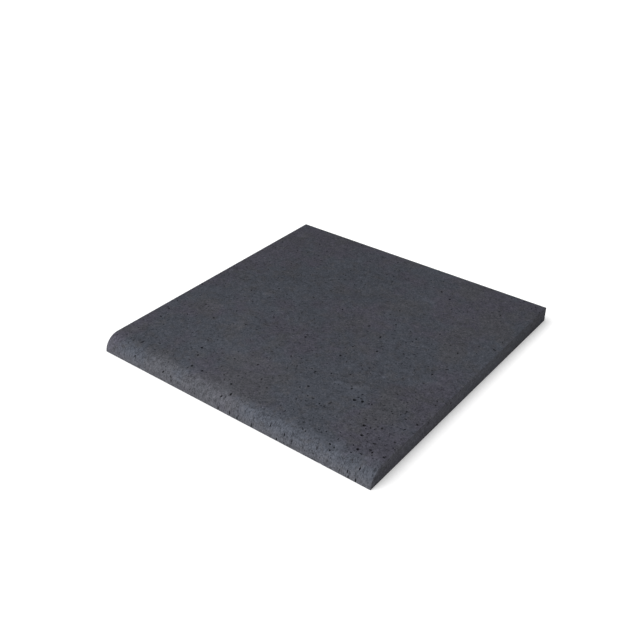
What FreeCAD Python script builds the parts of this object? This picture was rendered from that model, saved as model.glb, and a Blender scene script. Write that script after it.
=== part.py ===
# Pool coping stone: one square slab of dense dark concrete, cast in one piece. One of its four
# edges, the nose that overhangs the pool wall, is rounded from the walking face down to the bed.
#
# Millimetres, +Z up. The origin is the centre of the bed face, which lies in the plane Z = 0.
# +X runs along the nose, the nose faces -Y, and the back edge that meets the paving faces +Y.
import FreeCAD, Part
import math
import os

# Driving dimensions
length = 600.0  # along the nose, from end face to end face
depth = 600.0  # from the foremost line of the nose to the back face
thickness = 30.0  # from the bed face to the walking face
nose_radius = 32.0  # round of the nose, tangent to the walking face
face_arris = 1.0  # small round of the edges about the walking face, and of the back corners
bed_arris = 0.6  # smaller round of the edges about the bed face

# Where the planes of the slab lie
end_x = length / 2
nose_y = -depth / 2
back_y = depth / 2
bed_z = 0.0
walking_z = bed_z + thickness

SAME = 1e-4  # two places nearer than this are the same place


def nose_arc():
    """Foot, middle and top point of the nose's arc, each as (Y, Z).

    The arc is tangent to the walking face. A radius below the thickness leaves an upright land
    under the arc, and a larger one lets the arc run into the bed at a slight angle.
    """
    centre_z = walking_z - nose_radius
    foot_z = max(centre_z, bed_z)
    reach = math.sqrt(nose_radius**2 - (foot_z - centre_z) ** 2)
    centre_y = nose_y + reach
    foot_angle = math.atan2(foot_z - centre_z, -reach)
    middle_angle = (foot_angle + math.pi / 2) / 2
    middle = (
        centre_y + nose_radius * math.cos(middle_angle),
        centre_z + nose_radius * math.sin(middle_angle),
    )
    return (nose_y, foot_z), middle, (centre_y, walking_z)


def section():
    """Closed outline of the slab, seen from its left end, in the plane X = -end_x."""

    def at(y, z):
        return FreeCAD.Vector(-end_x, y, z)

    foot, middle, top = nose_arc()
    corners = [at(*top), at(back_y, walking_z), at(back_y, bed_z), at(nose_y, bed_z)]
    if foot[1] > bed_z + SAME:
        corners.append(at(*foot))
    edges = [Part.LineSegment(a, b).toShape() for a, b in zip(corners, corners[1:])]
    edges.append(Part.Arc(corners[-1], at(*middle), at(*top)).toShape())
    return Part.Wire(edges)


def lies_in(edge, axis, place):
    """True where the whole edge lies in the plane where that axis has that value."""
    box = edge.BoundBox
    low, high = {"x": (box.XMin, box.XMax), "y": (box.YMin, box.YMax), "z": (box.ZMin, box.ZMax)}[axis]
    return abs(low - place) < SAME and abs(high - place) < SAME


def ease_face_edges(slab):
    """Rounds the edges about the walking face and nose, and the two upright back corners."""
    eased = []
    for edge in slab.Edges:
        on_bed = lies_in(edge, "z", bed_z)
        on_end = lies_in(edge, "x", -end_x) or lies_in(edge, "x", end_x)
        at_back_top = lies_in(edge, "y", back_y) and lies_in(edge, "z", walking_z)
        if at_back_top or (on_end and not on_bed):
            eased.append(edge)
    return slab.makeFillet(face_arris, eased)


def ease_bed_edges(slab):
    """Rounds the outline of the bed face, all the way round."""
    return slab.makeFillet(bed_arris, [edge for edge in slab.Edges if lies_in(edge, "z", bed_z)])


def coping_slab():
    """The whole stone, as one solid."""
    blank = Part.Face(section()).extrude(FreeCAD.Vector(length, 0, 0))
    return ease_bed_edges(ease_face_edges(blank))


stone = coping_slab()
os.makedirs("parts", exist_ok=True)
stone.exportStep("parts/coping_slab.step")
print("valid", stone.isValid(), "solids", len(stone.Solids), "faces", len(stone.Faces))
print("volume in litres", round(stone.Volume / 1e6, 4))
print("box", stone.optimalBoundingBox(False, False))
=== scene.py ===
# %% [markdown]
# # A pool coping stone
# One square slab of dense dark concrete lies on a pale floor. It is 600 mm each way and 30 mm thick,
# and the edge that overhangs the pool, its nose, is a quarter round. The real one is cast in one pour:
# the mould leaves flat faces and crisp edges, and the air that is trapped against the mould leaves more
# than a thousand small open pits. So this lesson draws the slab's section, sweeps it from end to end,
# eases the edges, opens the pits as real holes, and only then mixes the colour.

# %% Load the model that this scene dresses
import bpy
import bmesh
import math
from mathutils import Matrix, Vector


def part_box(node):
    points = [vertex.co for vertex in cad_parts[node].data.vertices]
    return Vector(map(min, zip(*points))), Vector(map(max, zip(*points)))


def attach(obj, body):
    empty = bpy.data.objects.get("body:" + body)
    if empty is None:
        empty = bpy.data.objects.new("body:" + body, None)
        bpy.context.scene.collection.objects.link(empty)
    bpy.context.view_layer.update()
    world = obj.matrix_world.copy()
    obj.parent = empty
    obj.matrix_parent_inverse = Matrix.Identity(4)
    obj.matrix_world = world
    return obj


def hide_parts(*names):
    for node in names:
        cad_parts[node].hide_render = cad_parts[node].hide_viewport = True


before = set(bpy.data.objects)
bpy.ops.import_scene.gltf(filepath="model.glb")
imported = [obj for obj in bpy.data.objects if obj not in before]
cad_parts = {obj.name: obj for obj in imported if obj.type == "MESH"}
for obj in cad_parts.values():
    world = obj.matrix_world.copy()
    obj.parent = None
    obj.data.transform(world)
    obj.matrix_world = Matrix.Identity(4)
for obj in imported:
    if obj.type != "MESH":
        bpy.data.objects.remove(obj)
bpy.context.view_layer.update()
slab_low, slab_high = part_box("coping_slab")
slab_length = slab_high.x - slab_low.x
slab_depth = slab_high.y - slab_low.y
slab_thickness = slab_high.z - slab_low.z
print("slab", round(slab_length, 4), round(slab_depth, 4), round(slab_thickness, 4), "m")

# %% [markdown]
# ## The camera
# The photograph looks down on the nose from its right. Its camera is found from the slab itself: the
# two sets of parallel edges each run to a vanishing point, and together these give the direction and
# the focal length. The distance and the small offsets then put the four corners where they belong.
# Everything is a plain number here, so the view can be turned without moving the slab.

# %% Place the camera
PICTURE_WIDTH = 636  # pixels, and as many high
FOCAL_LENGTH = 856.3  # pixels
SENSOR_WIDTH = 36.0  # millimetres
CAMERA_TURN = math.radians(37.78)  # from straight in front of the nose towards its right end
CAMERA_RISE = math.radians(32.49)  # above the horizon
CAMERA_DISTANCE = 1.6434
CAMERA_SHIFT_RIGHT = -0.0255
CAMERA_SHIFT_UP = 0.0336

to_camera = Vector(
    (
        math.sin(CAMERA_TURN) * math.cos(CAMERA_RISE),
        -math.cos(CAMERA_TURN) * math.cos(CAMERA_RISE),
        math.sin(CAMERA_RISE),
    )
)
camera_right = Vector((math.cos(CAMERA_TURN), math.sin(CAMERA_TURN), 0))
camera_up = to_camera.cross(camera_right)

camera = bpy.data.objects.new("camera", bpy.data.cameras.new("camera"))
bpy.context.scene.collection.objects.link(camera)
camera.location = (
    to_camera * CAMERA_DISTANCE + camera_right * CAMERA_SHIFT_RIGHT + camera_up * CAMERA_SHIFT_UP
)
camera.rotation_mode = "QUATERNION"
camera.rotation_quaternion = (-to_camera).to_track_quat("-Z", "Y")
camera.data.sensor_width = SENSOR_WIDTH
camera.data.lens = FOCAL_LENGTH / PICTURE_WIDTH * SENSOR_WIDTH
bpy.context.scene.camera = camera
print("lens", round(camera.data.lens, 2), "mm")

# %% [markdown]
# ## A short way to write node trees
# Both the shapes and the finish of this stone are node trees. Built call by call, a tree is long and
# hard to read. The class below wraps one socket, so that `1 - mask * 0.5` adds the Math nodes for that
# sum by itself, and the second class adds every other kind of node with its settings first and then
# the values or links of its sockets. A few short functions then start a Geometry Nodes tree with named
# inputs, end it, put it on a piece, and store or read a number on the shape.

# %% Wrap a socket, so that sums are written as sums
class Value:
    """One output socket of a tree. Arithmetic on it adds Math nodes."""

    def __init__(self, tree, socket):
        self.tree = tree
        self.socket = socket

    def sum_with(self, operation, *terms):
        return self.tree.add("ShaderNodeMath", {"operation": operation}, dict(enumerate(terms)))

    def __add__(self, other):
        return self.sum_with("ADD", self, other)

    def __radd__(self, other):
        return self.sum_with("ADD", other, self)

    def __sub__(self, other):
        return self.sum_with("SUBTRACT", self, other)

    def __rsub__(self, other):
        return self.sum_with("SUBTRACT", other, self)

    def __mul__(self, other):
        return self.sum_with("MULTIPLY", self, other)

    def __rmul__(self, other):
        return self.sum_with("MULTIPLY", other, self)

    def __truediv__(self, other):
        return self.sum_with("DIVIDE", self, other)

    def __gt__(self, other):
        return self.sum_with("GREATER_THAN", self, other)

    def __lt__(self, other):
        return self.sum_with("LESS_THAN", self, other)

    def least(self, other):
        return self.sum_with("MINIMUM", self, other)

    def most(self, other):
        return self.sum_with("MAXIMUM", self, other)

    def ramp(self, start, end):
        """0 where this is at start or before, and 1 where it is at end or past it, with soft ends."""
        kind = {"interpolation_type": "SMOOTHSTEP"}
        ends = {"From Min": start, "From Max": end}
        return self.tree.add("ShaderNodeMapRange", kind, {"Value": self, **ends})

    def out(self, name):
        """Another output of the node that this value comes from."""
        return Value(self.tree, usable(self.socket.node.outputs, name))


# %% Add any other node in one call
def usable(sockets, key):
    """The socket with that place, name or identifier. Of several with one name, the one in use."""
    if isinstance(key, int):
        return sockets[key]
    fitting = [s for s in sockets if key in (s.name, s.identifier)]
    return next((s for s in fitting if s.enabled), fitting[0])


class Nodes:
    """A node tree that is being written."""

    def __init__(self, tree):
        self.tree = tree

    def add(self, kind, settings=None, sockets=None, output=0):
        node = self.tree.nodes.new(kind)
        for name, value in (settings or {}).items():
            setattr(node, name, value)
        for key, value in (sockets or {}).items():
            socket = usable(node.inputs, key)
            for one in value if isinstance(value, list) else [value]:
                if isinstance(one, Value):
                    self.tree.links.new(one.socket, socket)
                else:
                    socket.default_value = one
        return Value(self, usable(node.outputs, output)) if node.outputs else None


# %% Start, end and use a Geometry Nodes tree
KINDS = {
    "geometry": "NodeSocketGeometry",
    "length": "NodeSocketFloat",
    "number": "NodeSocketFloat",
    "whole": "NodeSocketInt",
    "object": "NodeSocketObject",
    "material": "NodeSocketMaterial",
}


def shape_tree(name, inputs):
    """A tree with those inputs, as {name: (kind, value)}, and one output. Gives it and its inputs."""
    group = bpy.data.node_groups.new(name, "GeometryNodeTree")
    for label, (kind, value) in inputs.items():
        socket = group.interface.new_socket(label, in_out="INPUT", socket_type=KINDS[kind])
        if kind == "length":
            socket.subtype = "DISTANCE"
        if value is not None:
            socket.default_value = value
    group.interface.new_socket("Geometry", in_out="OUTPUT", socket_type=KINDS["geometry"])
    nodes = Nodes(group)
    start = nodes.add("NodeGroupInput")
    return nodes, {label: start.out(label) for label in inputs}


def end_tree(nodes, result):
    """Sends the result to the tree's output."""
    nodes.add("NodeGroupOutput", None, {"Geometry": result})
    nodes.tree.is_modifier = True
    print(nodes.tree.name, "has", len(nodes.tree.nodes), "nodes")
    return nodes.tree


def with_number(nodes, shape, domain, name, value):
    """The shape with that number stored on it under that name."""
    return nodes.add(
        "GeometryNodeStoreNamedAttribute",
        {"data_type": "FLOAT", "domain": domain},
        {"Geometry": shape, "Name": name, "Value": value},
    )


def named(nodes, name, kind="FLOAT"):
    """Reads what was stored under that name."""
    return nodes.add("GeometryNodeInputNamedAttribute", {"data_type": kind}, {"Name": name})


def use_tree(piece, tree, values):
    """Puts the tree on the piece as a modifier, with those values set by their sockets' identifiers."""
    modifier = piece.modifiers.new(tree.name, "NODES")
    modifier.node_group = tree
    for item in tree.interface.items_tree:
        if item.in_out == "INPUT" and item.name in values:
            modifier[item.identifier] = values[item.name]
    return modifier


# %% [markdown]
# ## The section
# Every cut across the slab from nose to back shows the same outline, which is why one outline is
# enough. It has four straight lines and one arc. The arc touches the walking face without a corner and
# is a little larger than the slab is thick, so it meets the bed at almost a right angle. The straight
# lines are divided, because the pits that come later need neighbours of a similar size.

# %% Draw the section
MM = 0.001
NOSE_RADIUS = 32 * MM
CELL = 12 * MM  # the flat faces are divided into cells about this wide
EDGE_CELL = 2.5 * MM  # a narrow cell beside an edge keeps its shading tight
ARC_STEPS = 26

bed = slab_low.z
walking_face = slab_high.z
nose_line = slab_low.y
back = slab_high.y
nose_axis_z = walking_face - NOSE_RADIUS
nose_reach = math.sqrt(NOSE_RADIUS**2 - (bed - nose_axis_z) ** 2)
nose_axis_y = nose_line + nose_reach


def divided(start, end):
    """Places from start up to end, about a cell apart, with a narrow cell at both ends."""
    inner_start = start + EDGE_CELL
    inner_end = end - EDGE_CELL
    count = max(1, round((inner_end - inner_start) / CELL))
    inner = [inner_start + (inner_end - inner_start) * i / count for i in range(count + 1)]
    return [start, *inner]


def section_outline():
    """The section's corners as (y, z), from the nose's top over the back to its foot and up the arc."""
    top = [(y, walking_face) for y in divided(nose_axis_y, back)]
    rear = [(back, walking_face + bed - z) for z in divided(bed, walking_face)]
    under = [(back + nose_line - y, bed) for y in divided(nose_line, back)]
    foot_angle = math.atan2(bed - nose_axis_z, -nose_reach)
    arc = []
    for i in range(ARC_STEPS):
        angle = foot_angle + (math.pi / 2 - foot_angle) * i / ARC_STEPS
        y = nose_axis_y + NOSE_RADIUS * math.cos(angle)
        z = nose_axis_z + NOSE_RADIUS * math.sin(angle)
        arc.append((y, z))
    return (top + rear + under + arc)[::-1]


outline = section_outline()
print("section has", len(outline), "points")

# %% [markdown]
# ## Sweeping the section
# A path along the nose carries the section from the left end face to the right one, as a mould of
# that profile would. Curve to Mesh does this in one node and closes both ends. The path's points are
# moved so that its first and last cells are narrow too. The tree also notes how far each sharp edge
# will be eased: fully about the walking face and the ends, and less along the bed, which the mould's
# base leaves almost sharp.

# %% Sweep it with Geometry Nodes
SHARP = math.radians(45)  # an edge with more turn than this gets an arris
BED_SHARE = 0.6  # of the full arris
HAIR = 0.01 * MM  # a height within a hair of the bed's is on the bed


def sweep_tree():
    nodes, given = shape_tree(
        "sweep_section",
        {
            "Geometry": ("geometry", None),
            "Length": ("length", slab_length),
            "Edge cell": ("length", EDGE_CELL),
            "Stations": ("whole", 2),
            "Bed height": ("length", bed),
            "Bed share": ("number", BED_SHARE),
        },
    )
    profile = nodes.add("GeometryNodeMeshToCurve", None, {"Mesh": given["Geometry"]})
    half = given["Length"] / 2
    line = nodes.add("GeometryNodeCurvePrimitiveLine", None, {"Start": (0, 0, 0), "End": (1, 0, 0)})
    path = nodes.add("GeometryNodeResampleCurve", None, {"Curve": line, "Count": given["Stations"]})
    index = nodes.add("GeometryNodeInputIndex")
    share = (index - 1) / (given["Stations"] - 3)
    inner = half - given["Edge cell"]
    along = (share * 2 - 1) * inner
    along = along.most(0 - half).least(half)
    place = nodes.add("ShaderNodeCombineXYZ", None, {"X": along})
    path = nodes.add("GeometryNodeSetPosition", None, {"Geometry": path, "Position": place})
    path = nodes.add(
        "GeometryNodeSetCurveNormal", {"mode": "FREE"}, {"Curve": path, "Normal": (0, 1, 0)}
    )
    swept = nodes.add(
        "GeometryNodeCurveToMesh", None, {"Curve": path, "Profile Curve": profile, "Fill Caps": True}
    )
    angle = nodes.add("GeometryNodeInputMeshEdgeAngle")
    height = nodes.add(
        "ShaderNodeSeparateXYZ", None, {"Vector": nodes.add("GeometryNodeInputPosition")}, output="Z"
    )
    on_bed = height < given["Bed height"] + HAIR
    weight = (angle > SHARP) * (1 - on_bed * (1 - given["Bed share"]))
    eased = with_number(nodes, swept, "EDGE", "bevel_weight_edge", weight)
    return end_tree(nodes, nodes.add("GeometryNodeRealizeInstances", None, {"Geometry": eased}))


# %% Make the blank slab
mesh = bpy.data.meshes.new("pitted_slab")
mesh.from_pydata(
    [(y, z, 0) for y, z in outline],
    [(i, (i + 1) % len(outline)) for i in range(len(outline))],
    [],
)
slab = bpy.data.objects.new("pitted_slab", mesh)
bpy.context.scene.collection.objects.link(slab)
stations = round((slab_length - 2 * EDGE_CELL) / CELL) + 3
use_tree(slab, sweep_tree(), {"Stations": stations})
print("swept through", stations, "stations")

# %% [markdown]
# ## Easing the edges
# Cast concrete has no knife edges: each is a small round, an arris, of about a millimetre. A Bevel
# modifier set to read the weights from the sweep makes them all at once, with a smaller one along the
# bed. Three steps are enough for a round that is narrower than a pixel.

# %% Ease the edges
ARRIS = 1.0 * MM
ARRIS_STEPS = 3

arris = slab.modifiers.new("ease_edges", "BEVEL")
arris.limit_method = "WEIGHT"
arris.offset_type = "OFFSET"
arris.width = ARRIS
arris.segments = ARRIS_STEPS
arris.harden_normals = False
print("edges eased by", ARRIS / MM, "mm, along the bed by", BED_SHARE * ARRIS / MM, "mm")

# %% [markdown]
# ## The air pits
# Pits are the main feature of this stone. Each is half a bubble that was held against the mould: a
# dark cup, roundish or a little drawn out, from about one to six millimetres wide. They could
# be painted, but then a raking light would show a smooth slab, so they are cut as real holes. A
# family of pits is scattered by Geometry Nodes at least a spacing apart, each bubble gets its own
# size, turn and lumps, and one Boolean subtracts the family. On the nose the bubbles crept up the
# mould, so there they are longer along the section. Each also carries a number for how much painted
# shade the colour later lays on its wall, beyond the real shade of its depth. Three families, from fine
# to large, use the same group with other numbers.

# %% Write one family of pits as a group
ROUND_STARTS = -0.15  # how far forwards a face looks, -1 being straight ahead
ROUND_FULLY = -0.6
LUMP_SIZE = 1.3 * MM  # across one lump of a bubble


def laid_on(nodes, outwards, turn):
    """The rotation of a bubble that lies on the surface, its length along the section, and turned."""
    flat = nodes.add(
        "FunctionNodeAxesToRotation",
        {"primary_axis": "Z", "secondary_axis": "Y"},
        {"Primary Axis": outwards, "Secondary Axis": (-1, 0, 0)},
    )
    spin = nodes.add("FunctionNodeAxisAngleToRotation", None, {"Axis": (0, 0, 1), "Angle": turn})
    return nodes.add(
        "FunctionNodeRotateRotation", {"rotation_space": "LOCAL"}, {"Rotation": flat, "Rotate By": spin}
    )


def pit_family():
    nodes, given = shape_tree(
        "pit_family",
        {
            "Geometry": ("geometry", None),
            "Scatter on": ("geometry", None),
            "Spacing": ("length", 4 * MM),
            "Most per square metre": ("number", 1000),
            "Share": ("number", 1),
            "Smallest radius": ("length", 0.5 * MM),
            "Largest radius": ("length", 1.0 * MM),
            "Lumps": ("length", 0.2 * MM),
            "Longest stretch": ("number", 1.5),
            "Roundness": ("whole", 1),
            "Seed": ("whole", 1),
        },
    )
    spots = nodes.add(
        "GeometryNodeDistributePointsOnFaces",
        {"distribute_method": "POISSON"},
        {
            "Mesh": given["Scatter on"],
            "Distance Min": given["Spacing"],
            "Density Max": given["Most per square metre"],
            "Density Factor": given["Share"],
            "Seed": given["Seed"],
        },
    )

    def chance(low, high, offset, kind="FLOAT"):
        """A random value for each bubble. Each use adds another number to the seed, or they would agree."""
        seed = given["Seed"] + offset
        return nodes.add(
            "FunctionNodeRandomValue", {"data_type": kind}, {"Min": low, "Max": high, "Seed": seed},
            output="Value",
        )

    outwards = spots.out("Normal")
    forwards = nodes.add("ShaderNodeSeparateXYZ", None, {"Vector": outwards}, output="Y")
    on_round = forwards.ramp(ROUND_STARTS, ROUND_FULLY)
    skew = chance(0.0, 1.0, 11)
    radius = given["Smallest radius"] + (given["Largest radius"] - given["Smallest radius"]) * skew * skew
    lift = radius * chance(-0.25, 0.45, 23)
    offset = nodes.add(
        "ShaderNodeVectorMath", {"operation": "SCALE"}, {"Vector": outwards, "Scale": lift}
    )
    spots = nodes.add("GeometryNodeSetPosition", None, {"Geometry": spots, "Offset": offset})
    # painted shade: each pit's wall gets a random share of it, which the colour reads
    spots = with_number(nodes, spots, "POINT", "pit_darkness", chance(0.45, 1.0, 61))
    turn = chance(-math.pi, math.pi, 37) * (1 - on_round * 0.93)
    shape = chance((0.0, 0.55, 0.6), (1.0, 1.0, 1.0), 41, "FLOAT_VECTOR")
    part = nodes.add("ShaderNodeSeparateXYZ", None, {"Vector": shape}, output="X")
    stretch = 1 + part * part * (given["Longest stretch"] - 1)
    shape = nodes.add(
        "ShaderNodeCombineXYZ",
        None,
        {
            "X": stretch * (1 + on_round * chance(0.1, 0.7, 53)),
            "Y": part.out("Y") * (1 - on_round * 0.1),
            "Z": part.out("Z") * (1 - on_round * 0.3),
        },
    )
    shape = nodes.add("ShaderNodeVectorMath", {"operation": "SCALE"}, {"Vector": shape, "Scale": radius})
    bubble = nodes.add(
        "GeometryNodeMeshIcoSphere", None, {"Radius": 1.0, "Subdivisions": given["Roundness"]}
    )
    bubbles = nodes.add(
        "GeometryNodeInstanceOnPoints",
        None,
        {
            "Points": spots,
            "Instance": bubble,
            "Rotation": laid_on(nodes, outwards, turn),
            "Scale": shape,
        },
    )
    bubbles = nodes.add("GeometryNodeRealizeInstances", None, {"Geometry": bubbles})
    return nodes, given, bubbles


def cut_by(nodes, stone, bubbles, lumps):
    """Makes the bubbles lumpy, marks how much painted shade their walls get and subtracts them from the
    stone.
    """
    place = nodes.add("GeometryNodeInputPosition")
    wander = nodes.add(
        "ShaderNodeTexNoise",
        {"noise_dimensions": "3D"},
        {"Vector": place, "Scale": 1 / LUMP_SIZE, "Detail": 1.0},
        output="Color",
    )
    centred = nodes.add(
        "ShaderNodeVectorMath", {"operation": "SUBTRACT"}, {0: wander, 1: (0.5, 0.5, 0.5)}
    )
    wander = nodes.add(
        "ShaderNodeVectorMath", {"operation": "SCALE"}, {"Vector": centred, "Scale": lumps * 2}
    )
    bubbles = nodes.add("GeometryNodeSetPosition", None, {"Geometry": bubbles, "Offset": wander})
    # the pits' faces carry their share of painted shade to the colour
    bubbles = with_number(nodes, bubbles, "FACE", "pit", named(nodes, "pit_darkness"))
    return nodes.add(
        "GeometryNodeMeshBoolean",
        {"operation": "DIFFERENCE", "solver": "MANIFOLD"},
        {"Mesh 1": stone, "Mesh 2": bubbles},
    )


family_nodes, family_given, family_bubbles = pit_family()
family = end_tree(
    family_nodes,
    cut_by(family_nodes, family_given["Geometry"], family_bubbles, family_given["Lumps"]),
)

# %% [markdown]
# ## Where the pits lie
# The pits are not even. The largest in the photograph catch the eye one by one, so they are listed.
# Each row is a place, measured as on the stone with a tape: how far right of the middle it lies,
# and how far back from the line where the round of the nose begins, or, below zero, how far down the
# round.

# %% Set out the largest pits
CHOSEN_PITS = [  # right, back, width, length in millimetres, and turn from the section in degrees
    (135, 479, 4.0, 4.6, 60),
    (64, 302, 3.8, 6.0, 0),
    (102, 284, 3.8, 4.4, 80),
    (239, 242, 4.0, 5.2, 50),
    (-8, 199, 4.2, 4.8, 0),
    (79, 190, 4.4, 4.6, 90),
    (-272, 85, 4.0, 4.6, 90),
    (-135, 56, 4.4, 5.2, 120),
    (-124, 35, 4.0, 4.6, 30),
    (-109, 5, 4.0, 5.4, 30),
    (-84, 5, 4.4, 4.8, 0),
    (-18, 8, 4.2, 5.2, 60),
    (90, 84, 4.0, 5.2, 70),
    (174, 101, 5.6, 6.4, 90),
    (187, 106, 5.2, 5.4, 30),
    (225, 57, 5.6, 5.8, 70),
    (236, 35, 5.2, 6.0, 110),
    (250, 4, 5.2, 5.8, 0),
    (-225, -29, 2.6, 4.6, 10),
    (-151, -31, 3.2, 5.2, -20),
    (-15, -22, 2.8, 5.2, -15),
    (-1, -12, 3.8, 6.2, -10),
    (12, -42, 2.4, 6.2, 0),
    (29, -44, 3.0, 6.6, 0),
    (61, -43, 2.2, 7.6, 0),
    (97, -28, 2.4, 5.0, 0),
    (128, -31, 2.2, 5.6, 15),
    (115, -45, 2.6, 6.2, 0),
    (144, -36, 2.0, 7.6, 5),
    (217, -13, 2.8, 3.4, 60),
    (213, -20, 2.6, 3.2, 20),
    (255, -36, 2.2, 5.4, 0),
    (258, -45, 2.6, 6.6, 0),
    (272, -44, 3.0, 7.6, 0),
    (273, -24, 3.0, 4.8, 0),
]


def on_the_stone(right, behind):
    """Place and outward direction at that distance right of the middle and back from the round."""
    if behind >= 0:
        return (right, nose_axis_y + behind, walking_face), (0, 0, 1)
    turn = -behind / NOSE_RADIUS
    outwards = (0, -math.sin(turn), math.cos(turn))
    return (
        right,
        nose_axis_y + NOSE_RADIUS * outwards[1],
        nose_axis_z + NOSE_RADIUS * outwards[2],
    ), outwards


def chosen_points():
    """A helper mesh of bare points at the chosen pits, with their sizes, turns and directions."""
    spots = [on_the_stone(right * MM, behind * MM) for right, behind, *_ in CHOSEN_PITS]
    mesh = bpy.data.meshes.new("chosen_pits")
    mesh.from_pydata([place for place, outwards in spots], [], [])
    columns = {
        "pit_width": [width * MM for *_, width, length, turn in CHOSEN_PITS],
        "pit_length": [length * MM for *_, length, turn in CHOSEN_PITS],
        "pit_turn": [math.radians(turn) for *_, turn in CHOSEN_PITS],
    }
    for name, values in columns.items():
        mesh.attributes.new(name, "FLOAT", "POINT").data.foreach_set("value", values)
    outwards = mesh.attributes.new("pit_outwards", "FLOAT_VECTOR", "POINT")
    outwards.data.foreach_set("vector", [part for place, direction in spots for part in direction])
    points = bpy.data.objects.new("chosen_pits", mesh)
    bpy.context.scene.collection.objects.link(points)
    return points


chosen = chosen_points()
print(len(CHOSEN_PITS), "pits set out by hand")

# %% [markdown]
# ## Opening the pits
# The small pits crowd towards the nose and its right end, they come in loose clusters, and the end
# faces, the back and the bed have few. The share of places that get a pit is therefore a field: the
# height of a slow noise, times a rise towards the nose, times a number for the way the face looks.
# After the last cut the faces are shaded smooth, with sharp rims round the pits, or the flat faces
# would seem to bend beside every hole.

# %% Write the tree that opens all pits
FAMILIES = {
    # name: spacing, most per square metre, smallest and largest radius, lumps, stretch, roundness, seed
    "fine": (3.0 * MM, 9000, 0.5 * MM, 1.1 * MM, 0.18 * MM, 3.4, 1, 3),
    "middling": (4.8 * MM, 7400, 1.1 * MM, 2.2 * MM, 0.35 * MM, 1.8, 2, 5),
    "large": (11.0 * MM, 1100, 1.6 * MM, 2.7 * MM, 0.5 * MM, 1.4, 3, 17),
}
CHOSEN_DEPTH = 0.7  # of the pit's width
CHOSEN_LUMPS = 0.5 * MM
# painted shade in the walls of the chosen pits
CHOSEN_PAINTED_SHADE = 0.88  # of the darkest pit
CLUSTER_SIZE = 55 * MM  # across a loose cluster of pits
FLAT = 0.99999  # a face whose outward direction has a part of this size is square to the slab
PLANE_TURN = math.radians(8)  # an edge of a flat face with more turn than this is drawn sharp
RIM_TURN = math.radians(38)  # and so is any edge with more turn than this


def share_field(nodes):
    """How likely a pit is at each place, from 0 to 1."""
    position = nodes.add("GeometryNodeInputPosition")
    x = nodes.add("ShaderNodeSeparateXYZ", None, {"Vector": position}, output="X")
    y = x.out("Y")
    facing = nodes.add(
        "ShaderNodeSeparateXYZ", None, {"Vector": nodes.add("GeometryNodeInputNormal")}, output="Z"
    )
    clusters = nodes.add(
        "ShaderNodeTexNoise", None, {"Vector": position, "Scale": 1 / CLUSTER_SIZE, "Detail": 2.0}
    ).ramp(0.3, 0.68)
    towards_nose = y.ramp(0.18, -0.29)
    right_front = x.ramp(0.05, 0.28) * y.ramp(-0.02, -0.20)
    along = 0.17 + towards_nose * 0.32 + right_front * 0.45
    on_round = facing.out("Y").ramp(-0.1, -0.5)
    worked = facing.ramp(0.3, 0.6).most(facing.out("Y").ramp(-0.3, -0.6))
    return (0.25 + clusters * 0.75) * along * (0.14 + worked * 0.86) * (1 - on_round * 0.45)


def shade(nodes, stone):
    """Smooth faces, with sharp rims round the pits and sharp borders round the flat faces."""
    normal = nodes.add("GeometryNodeInputNormal")
    sizes = nodes.add("ShaderNodeVectorMath", {"operation": "ABSOLUTE"}, {"Vector": normal})
    parts = nodes.add("ShaderNodeSeparateXYZ", None, {"Vector": sizes}, output="X")
    flat = parts.most(parts.out("Y")).most(parts.out("Z")) > FLAT
    stone = with_number(nodes, stone, "FACE", "flat", flat)
    border = named(nodes, "flat")  # an edge reads the mean of its two faces
    border = (border > 0.25) * (border < 0.75)
    angle = nodes.add("GeometryNodeInputMeshEdgeAngle")
    sharp = (angle > RIM_TURN).most((angle > PLANE_TURN) * border)
    stone = nodes.add(
        "GeometryNodeSetShadeSmooth", {"domain": "FACE"}, {"Geometry": stone, "Shade Smooth": True}
    )
    return nodes.add(
        "GeometryNodeSetShadeSmooth",
        {"domain": "EDGE"},
        {"Geometry": stone, "Selection": sharp, "Shade Smooth": False},
    )


def pits_tree():
    nodes, given = shape_tree(
        "open_pits",
        {
            "Geometry": ("geometry", None),
            "Chosen pits": ("object", None),
            "Finish": ("material", None),
        },
    )
    body = with_number(nodes, given["Geometry"], "FACE", "pit", 0.0)
    share = share_field(nodes)
    stone = body
    for spacing, most, smallest, largest, lumps, stretch, roundness, seed in FAMILIES.values():
        stone = nodes.add(
            "GeometryNodeGroup",
            {"node_tree": family},
            {
                "Geometry": stone,
                "Scatter on": body,
                "Spacing": spacing,
                "Most per square metre": most,
                "Share": share,
                "Smallest radius": smallest,
                "Largest radius": largest,
                "Lumps": lumps,
                "Longest stretch": stretch,
                "Roundness": roundness,
                "Seed": seed,
            },
        )
    points = nodes.add("GeometryNodeObjectInfo", None, {"Object": given["Chosen pits"]}, output="Geometry")
    width = named(nodes, "pit_width")
    size = nodes.add(
        "ShaderNodeCombineXYZ",
        None,
        {"X": named(nodes, "pit_length") / 2, "Y": width / 2, "Z": width * CHOSEN_DEPTH},
    )
    rotation = laid_on(nodes, named(nodes, "pit_outwards", "FLOAT_VECTOR"), named(nodes, "pit_turn"))
    bubble = nodes.add("GeometryNodeMeshIcoSphere", None, {"Radius": 1.0, "Subdivisions": 3})
    bubbles = nodes.add(
        "GeometryNodeInstanceOnPoints",
        None,
        {"Points": points, "Instance": bubble, "Rotation": rotation, "Scale": size},
    )
    bubbles = nodes.add("GeometryNodeRealizeInstances", None, {"Geometry": bubbles})
    # the chosen pits get the most painted shade
    bubbles = with_number(nodes, bubbles, "POINT", "pit_darkness", CHOSEN_PAINTED_SHADE)
    stone = cut_by(nodes, stone, bubbles, CHOSEN_LUMPS)
    stone = shade(nodes, stone)
    stone = nodes.add("GeometryNodeRealizeInstances", None, {"Geometry": stone})
    stone = nodes.add("GeometryNodeSetMaterial", None, {"Geometry": stone, "Material": given["Finish"]})
    return end_tree(nodes, stone)
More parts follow.
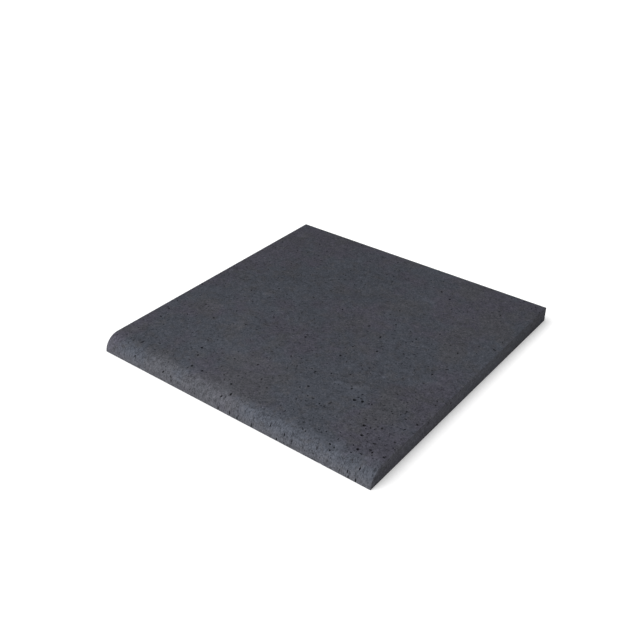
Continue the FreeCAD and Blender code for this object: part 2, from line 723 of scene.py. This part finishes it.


# %% [markdown]
# ## Anthracite concrete
# The stone is coloured through with a dark blue-grey pigment. It is never one grey: the cement drifts
# between a bluish, a violet and an olive tone over a hand's width, sand grains speckle it, a few pale
# grains and small patches of pale bloom show, the nose has fine streaks that run down its round, and its
# foot and the end faces lean to olive. Two marks are painted light: the end faces are painted lighter
# towards the front, and the pits' walls get painted shade, darker than the real shade of their depth.
# All of it reads the object's own coordinates in metres, so each pattern has the size it has on the stone.

# %% Mix the concrete
BLUISH = (0.0467, 0.0509, 0.0622, 1)
VIOLET = (0.0506, 0.0496, 0.0628, 1)
OLIVE = (0.0500, 0.0506, 0.0568, 1)
# painted shade in the pits' walls, on top of the real shade of their depth
PIT_PAINTED_SHADE = 0.78  # the share that the darkest pit's wall loses
SPECULAR_LEVEL = 0.05  # dry concrete hardly shines


def anthracite_concrete():
    material = bpy.data.materials.new("cast_anthracite_concrete")
    material.use_nodes = True
    material.node_tree.nodes.clear()
    nodes = Nodes(material.node_tree)
    place = nodes.add("ShaderNodeTexCoord", output="Object")

    def noise(size, detail=2.0, roughness=0.5, shift=0.0):
        """Noise with patches of about that size, moved by the shift to another part of the pattern."""
        moved = nodes.add("ShaderNodeVectorMath", {"operation": "ADD"}, {0: place, 1: (shift,) * 3})
        return nodes.add(
            "ShaderNodeTexNoise",
            None,
            {"Vector": moved, "Scale": 1 / size, "Detail": detail, "Roughness": roughness},
        )

    def drawn_noise(size, length):
        """Noise that is drawn out along the section, and so down the round of the nose."""
        long_way = 1 / (size * length)
        stretched = nodes.add(
            "ShaderNodeVectorMath", {"operation": "MULTIPLY"}, {0: place, 1: (1 / size, long_way, long_way)}
        )
        return nodes.add("ShaderNodeTexNoise", None, {"Vector": stretched, "Scale": 1, "Detail": 2.0})

    def grains(size, shift=0.0):
        """How far a point is from the middle of its grain, and a number of its own for each grain."""
        moved = nodes.add("ShaderNodeVectorMath", {"operation": "ADD"}, {0: place, 1: (shift,) * 3})
        cell = nodes.add(
            "ShaderNodeTexVoronoi", {"feature": "F1"}, {"Vector": moved, "Scale": 1 / size}
        )
        tint = nodes.add("ShaderNodeSeparateColor", None, {"Color": cell.out("Color")}, output="Red")
        return cell, tint

    def mixed(factor, first, second):
        return nodes.add(
            "ShaderNodeMix",
            {"data_type": "RGBA"},
            {"Factor": factor, "A": first, "B": second},
            output="Result",
        )

    # how much painted shade this face of a pit gets
    pit = nodes.add("ShaderNodeAttribute", {"attribute_name": "pit"}, output="Fac")

    x = nodes.add("ShaderNodeSeparateXYZ", None, {"Vector": place}, output="X")
    y = x.out("Y")
    on_end = x.most(0 - x).ramp(slab_length / 2 - 1.5 * MM, slab_length / 2 - 0.5 * MM)
    on_nose = y.ramp(nose_axis_y - 2 * MM, nose_axis_y - 20 * MM)
    foot = x.out("Z").ramp(24 * MM, 3 * MM)
    # 0 at the back and 1 from the middle forwards, used for painted light on the end faces
    painted_light_towards_front = y.ramp(back, 0.0)

    tone = mixed(noise(150 * MM, 6.0, 0.65, 40.4).ramp(0.44, 0.56), VIOLET, BLUISH)
    tone = mixed(noise(110 * MM, 6.0, 0.65, 47.35).ramp(0.50, 0.62) * 0.75, tone, OLIVE)
    tone = mixed(noise(18 * MM, 3.0, 0.6, 12.9).ramp(0.50, 0.68) * 0.65, tone, OLIVE)
    tone = mixed(on_end * 0.45, tone, OLIVE)
    tone = mixed(on_nose * foot * 0.7, tone, OLIVE)

    cloud = noise(200 * MM, 4.0, 0.55, 49.05)
    blotch = noise(30 * MM, 2.0, 0.5, 43.64)
    bloom = noise(44 * MM, 2.0, 0.5, 122.92).ramp(0.64, 0.76)
    mottle = noise(10 * MM, 3.0, 0.6, 2.2)
    fine = noise(3.6 * MM, 3.0, 0.65, 3.9)
    streaks = drawn_noise(1.5 * MM, 4.0)
    sand, sand_tint = grains(1.9 * MM)
    coarse, coarse_tint = grains(3.6 * MM, 9.1)
    pale = (coarse_tint > 0.965) * coarse.ramp(0.42, 0.25)
    shade_of_place = (
        1
        + (cloud - 0.5) * 0.42
        + (blotch - 0.5) * 0.34
        + bloom * 0.26
        + (mottle - 0.5) * (0.78 + on_end * 0.4)
        + (fine - 0.5) * (1.15 - on_nose * 0.3)
        + (streaks - 0.5) * on_nose * 1.5
        + (sand_tint - 0.5) * 0.5
        + pale * 0.5
        # painted light: the end faces are made lighter towards the front
        + on_end * painted_light_towards_front * 0.18
    )
    # painted shade: the pits' walls are darkened in the colour, beyond their real shade
    shade_of_place = shade_of_place * (1 - pit * PIT_PAINTED_SHADE)
    colour = nodes.add(
        "ShaderNodeVectorMath", {"operation": "SCALE"}, {"Vector": tone, "Scale": shade_of_place}
    )

    roughness = 0.80 + (fine - 0.5) * 0.25 + (mottle - 0.5) * 0.12
    relief = (
        (noise(3.2 * MM, 2.0, 0.6, 5.5) - 0.5) * (0.26 * MM)
        + (noise(1.1 * MM, 2.0, 0.6, 6.6) - 0.5) * (0.09 * MM)
        + sand.ramp(0.5, 0.0) * (0.04 * MM)
    )
    bump = nodes.add("ShaderNodeBump", None, {"Strength": 1.0, "Distance": 1.0, "Height": relief})
    surface = nodes.add(
        "ShaderNodeBsdfPrincipled",
        None,
        {"Base Color": colour, "Roughness": roughness, "Normal": bump, "Specular IOR Level": SPECULAR_LEVEL},
    )
    nodes.add("ShaderNodeOutputMaterial", None, {"Surface": surface})
    print("concrete has", len(material.node_tree.nodes), "nodes")
    return material


# %% [markdown]
# ## One plain mesh
# Blender keeps the sweep, the eased edges and the pits as modifiers that it works out again and again.
# The stone is finished, so their result is kept as an ordinary mesh, and the values that only the trees
# needed are taken off. A closed mesh has two faces at every edge, which is counted here, and a volume.

# %% Run the trees and keep the result
KEPT_ATTRIBUTES = {"pit", "sharp_edge", "material_index"}


def keep_one_material(mesh):
    """Takes off the empty slot that the blank slab left, and points every face at the finish."""
    finish = next(material for material in mesh.materials if material)
    mesh.materials.clear()
    mesh.materials.append(finish)
    mesh.polygons.foreach_set("material_index", [0] * len(mesh.polygons))


def make_plain(piece):
    """The evaluated piece as a mesh of its own, with the modifiers and working values taken off."""
    depsgraph = bpy.context.evaluated_depsgraph_get()
    result = bpy.data.meshes.new_from_object(
        piece.evaluated_get(depsgraph), preserve_all_data_layers=True, depsgraph=depsgraph
    )
    piece.modifiers.clear()
    start = piece.data
    piece.data = result
    bpy.data.meshes.remove(start)
    result.name = piece.name
    working = [
        a.name
        for a in result.attributes
        if not a.is_required and not a.is_internal and a.name not in KEPT_ATTRIBUTES
    ]
    for name in working:
        result.attributes.remove(result.attributes[name])
    keep_one_material(result)
    return result


def report(mesh):
    """Prints how large the mesh is, and whether it is closed."""
    made = bmesh.new()
    made.from_mesh(mesh)
    open_edges = sum(1 for edge in made.edges if len(edge.link_faces) != 2)
    volume = made.calc_volume(signed=True) * 1000
    made.free()
    mesh.calc_loop_triangles()
    print(mesh.name, len(mesh.loop_triangles), "triangles,", open_edges, "open edges,")
    print("volume", round(volume, 4), "litres, attributes", [a.name for a in mesh.attributes])
    print("materials", [m and m.name for m in mesh.materials])


concrete = anthracite_concrete()
use_tree(slab, pits_tree(), {"Chosen pits": chosen, "Finish": concrete})
report(make_plain(slab))
bpy.data.objects.remove(chosen)

# %% [markdown]
# ## The floor
# The photograph's ground is white, with a short soft shadow along the right end of the slab. A floor
# of white paint under plain light would come out pale grey, so it also glows a little, but only for
# what looks at it directly: the glow adds no light to the stone, and the shadow stays on the floor.

# %% Lay the floor
FLOOR_SIZE = 12.0
FLOOR_GAP = 0.1 * MM  # keeps the bed and the floor from lying in one plane
FLOOR_COLOUR = (0.88, 0.88, 0.88, 1)
FLOOR_GLOW = 0.29


def seen_directly(nodes):
    """1 for rays from the camera and for mirrored or transmitted ones, and 0 for light on its way."""
    path = nodes.add("ShaderNodeLightPath", output="Is Camera Ray")
    return path.most(path.out("Is Glossy Ray")).most(path.out("Is Transmission Ray"))


def pale_floor():
    material = bpy.data.materials.new("pale_floor")
    material.use_nodes = True
    material.node_tree.nodes.clear()
    nodes = Nodes(material.node_tree)
    paint = nodes.add("ShaderNodeBsdfDiffuse", None, {"Color": FLOOR_COLOUR})
    glow = nodes.add(
        "ShaderNodeEmission", None, {"Strength": seen_directly(nodes) * FLOOR_GLOW}
    )
    both = nodes.add("ShaderNodeAddShader", None, {0: paint, 1: glow})
    nodes.add("ShaderNodeOutputMaterial", None, {"Surface": both})
    return material


floor_mesh = bpy.data.meshes.new("floor")
half_floor = FLOOR_SIZE / 2
floor_mesh.from_pydata(
    [(x, y, bed - FLOOR_GAP) for x, y in ((-1, -1), (1, -1), (1, 1), (-1, 1))],
    [],
    [(0, 1, 2, 3)],
)
for corner in floor_mesh.vertices:
    corner.co.x *= half_floor
    corner.co.y *= half_floor
floor_mesh.materials.append(pale_floor())
floor = bpy.data.objects.new("floor", floor_mesh)
bpy.context.scene.collection.objects.link(floor)
print("floor", FLOOR_SIZE, "m wide")

# %% [markdown]
# ## Light
# The photograph is lit from all sides by a white room, with a large soft light on the left that leaves
# the short shadow on the right, and a low one in front of the nose that makes the round edge the
# brightest part. The room is the world: white where it is looked at, and weaker as a light, most of all
# from the right. The large light is two far lamps from the same side, one linked to the stone and one
# to the floor, so that the stone's brightness and its shadow can be set apart. The low light reaches
# the stone alone, and so leaves no long shadow behind it.

# %% Light the room
ROOM_STRENGTH = 0.5
ROOM_DARKER_RIGHT = 0.35  # this share is taken off on the right and added on the left

world = bpy.data.worlds.new("white_room")
bpy.context.scene.world = world
world.use_nodes = True
world.node_tree.nodes.clear()
room = Nodes(world.node_tree)
direct = seen_directly(room)
way = room.add("ShaderNodeTexCoord", output="Generated")
rightwards = room.add("ShaderNodeSeparateXYZ", None, {"Vector": way}, output="X")
lit = ROOM_STRENGTH * (1 - rightwards * ROOM_DARKER_RIGHT)
background = room.add(
    "ShaderNodeBackground",
    None,
    {"Color": (1, 1, 1, 1), "Strength": direct + (1 - direct) * lit},
)
room.add("ShaderNodeOutputWorld", None, {"Surface": background})
print("the room has", len(world.node_tree.nodes), "nodes")

# %% Set up the soft lights
HIGH_LIGHT_TURN = math.radians(40)  # from straight in front of the nose towards its left end
HIGH_LIGHT_DISTANCE = 3.0


def turned_to(light, place, target):
    """Puts the light there and turns it to face the target."""
    light.location = place
    light.rotation_mode = "QUATERNION"
    light.rotation_quaternion = (Vector(target) - Vector(place)).to_track_quat("-Z", "Y")


def only_for(light, *lit):
    """The light reaches only those objects. They still cast its shadows."""
    group = bpy.data.collections.new(light.name + "_receivers")
    for piece in lit:
        group.objects.link(piece)
    light.light_linking.receiver_collection = group


def high_light(name, share, width, rise):
    """A wide far light at the upper left front, that adds that share to a level white face."""
    lamp = bpy.data.lights.new(name, "SUN")
    lamp.angle = math.radians(width)
    rise = math.radians(rise)
    lamp.energy = share * math.pi / math.sin(rise)
    light = bpy.data.objects.new(name, lamp)
    bpy.context.scene.collection.objects.link(light)
    towards = Vector(
        (
            -math.sin(HIGH_LIGHT_TURN) * math.cos(rise),
            -math.cos(HIGH_LIGHT_TURN) * math.cos(rise),
            math.sin(rise),
        )
    )
    turned_to(light, towards * HIGH_LIGHT_DISTANCE, (0, 0, 0))
    return light


only_for(high_light("stone_light", share=0.43, width=60, rise=45), slab)
only_for(high_light("floor_light", share=0.55, width=52, rise=55), floor)

NOSE_LIGHT_POWER = 21.9
NOSE_LIGHT_SIZE = (2.2, 0.5)
NOSE_LIGHT_PLACE = (-0.05, -1.3, 0.36)

nose_lamp = bpy.data.lights.new("nose_light", "AREA")
nose_lamp.shape = "RECTANGLE"
nose_lamp.size, nose_lamp.size_y = NOSE_LIGHT_SIZE
nose_lamp.energy = NOSE_LIGHT_POWER
nose_light = bpy.data.objects.new("nose_light", nose_lamp)
bpy.context.scene.collection.objects.link(nose_light)
turned_to(nose_light, NOSE_LIGHT_PLACE, (0, nose_line, slab_thickness / 2))
nose_light.visible_camera = False
only_for(nose_light, slab)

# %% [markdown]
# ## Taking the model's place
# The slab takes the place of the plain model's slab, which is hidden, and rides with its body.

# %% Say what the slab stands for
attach(slab, "root")
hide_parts("coping_slab")

# %% Colour as it is written
bpy.context.scene.view_settings.view_transform = "Standard"
